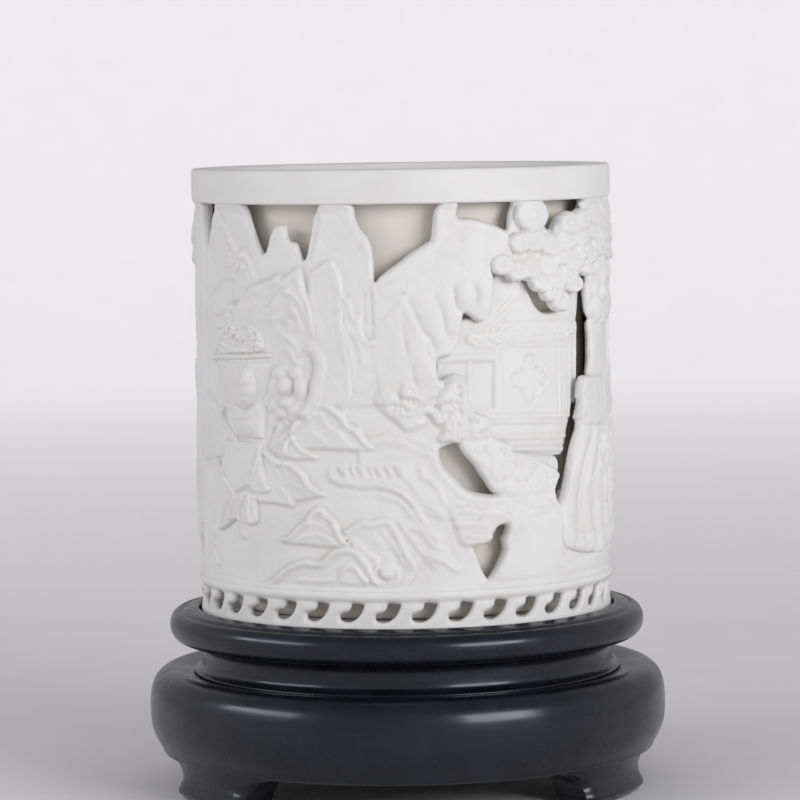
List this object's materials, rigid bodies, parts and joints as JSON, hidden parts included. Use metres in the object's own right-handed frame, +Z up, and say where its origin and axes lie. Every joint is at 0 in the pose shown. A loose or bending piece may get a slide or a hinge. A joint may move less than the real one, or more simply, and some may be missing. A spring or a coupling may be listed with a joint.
{
  "type": "brush pot",
  "caption": "Round double-walled porcelain brush pot with a pierced and carved landscape wall, lifting out of a round lacquered stand on scroll feet.",
  "frame": {"origin": "centre of the stand's footprint on the table", "axes": "+Z up, the front of the pot faces -Y, +X to the viewer's right"},
  "size_m": [0.152, 0.152, 0.1823],
  "materials": {
    "porcelain": "matte unglazed",
    "porcelain_inside": "matte unglazed",
    "lacquer": "black lacquer, glossy",
    "raw_wood": "raw turned dowel"
  },
  "bodies": {
    "stand": {"seat_ring": "lacquer", "seat_board": "lacquer", "waist_ring": "lacquer", "drum_ring": "lacquer", "foot_1": "lacquer", "foot_2": "lacquer", "foot_3": "lacquer", "foot_dowel_1": "raw_wood", "foot_dowel_2": "raw_wood", "foot_dowel_3": "raw_wood"},
    "pot": {"inner_cup": "porcelain_inside", "base_disc": "porcelain", "foot_border": "porcelain", "carved_shell": "porcelain", "rim_collar": "porcelain", "pavilion_front": "porcelain", "pine_canopy_front": "porcelain", "pine_trunk_front": "porcelain", "child_figure_front": "porcelain", "flower_basket_front": "porcelain", "pavilion_back": "porcelain", "pine_canopy_back": "porcelain", "pine_trunk_back": "porcelain", "child_figure_back": "porcelain", "flower_basket_back": "porcelain"}
  },
  "joints": [
    {"name": "pot_lift", "type": "slide", "parent": "stand", "child": "pot", "axis": [0, 0, 1], "range_m": [0, 0.03]}
  ]
}
